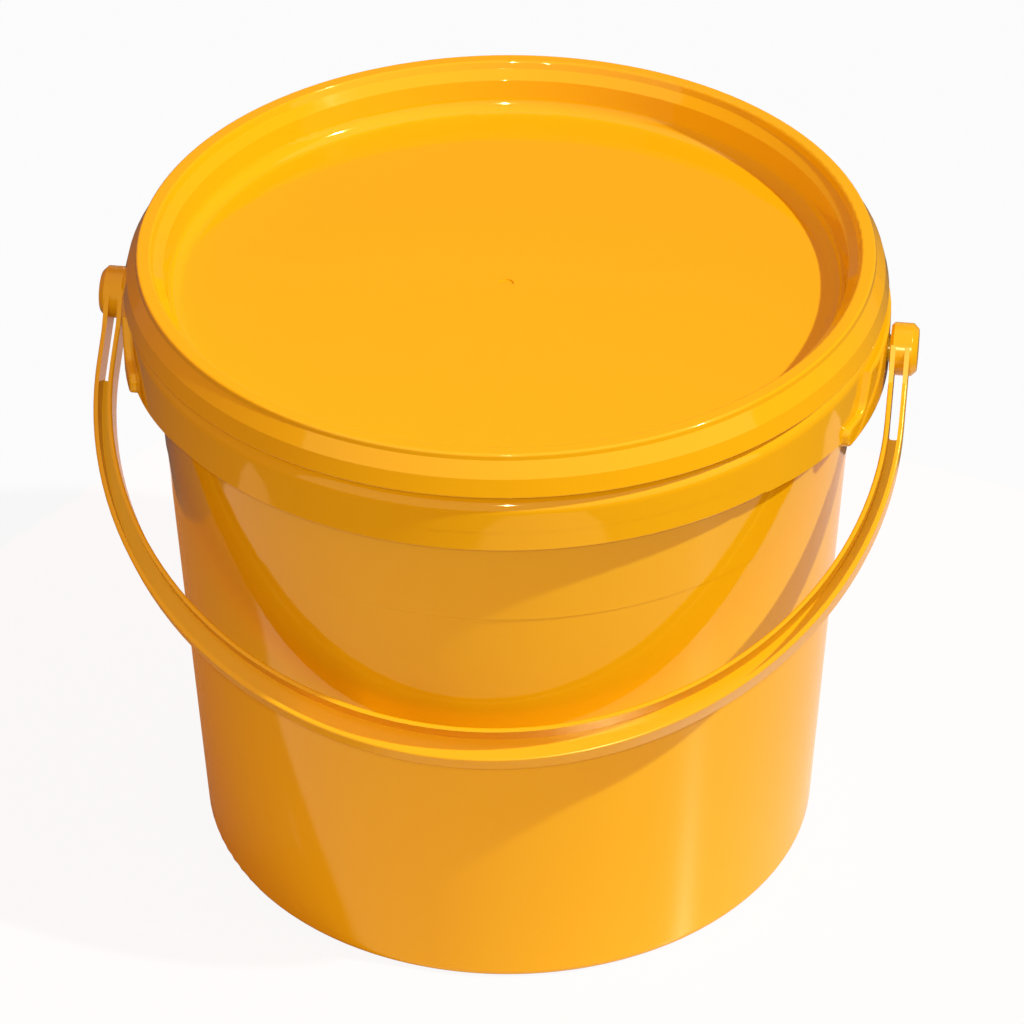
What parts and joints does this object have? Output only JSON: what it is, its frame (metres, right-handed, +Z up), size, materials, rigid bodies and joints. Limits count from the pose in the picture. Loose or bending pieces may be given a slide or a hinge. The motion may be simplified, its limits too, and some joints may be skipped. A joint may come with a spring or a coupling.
{
  "type": "plastic bucket with lid",
  "caption": "Round tapered food pail with a press-on lid and a swinging plastic bail handle, for storing and carrying honey.",
  "frame": {"origin": "centre of the base, on the plane that the pail stands on", "axes": "+Z up along the pail's axis, X along the line through the handle's pivots, the handle hangs on the -Y side"},
  "size_m": [0.2434, 0.2259, 0.2021],
  "materials": {
    "bucket_plastic": "glossy amber-yellow polypropylene, slightly translucent",
    "lid_plastic": "glossy amber-yellow polypropylene, slightly translucent",
    "handle_plastic": "glossy amber-yellow polypropylene, slightly translucent"
  },
  "bodies": {
    "pail": {"bucket_body": "bucket_plastic"},
    "cover": {"lid": "lid_plastic"},
    "bail": {"bail_handle": "handle_plastic"}
  },
  "joints": [
    {"name": "handle_swing", "type": "hinge", "parent": "pail", "child": "bail", "pos_m": [0, 0, 0.1746], "axis": [-1, 0, 0], "range_deg": [0, 250]},
    {"name": "lid_lift", "type": "slide", "parent": "pail", "child": "cover", "axis": [0, 0, 1], "range_m": [0, 0.06]}
  ]
}
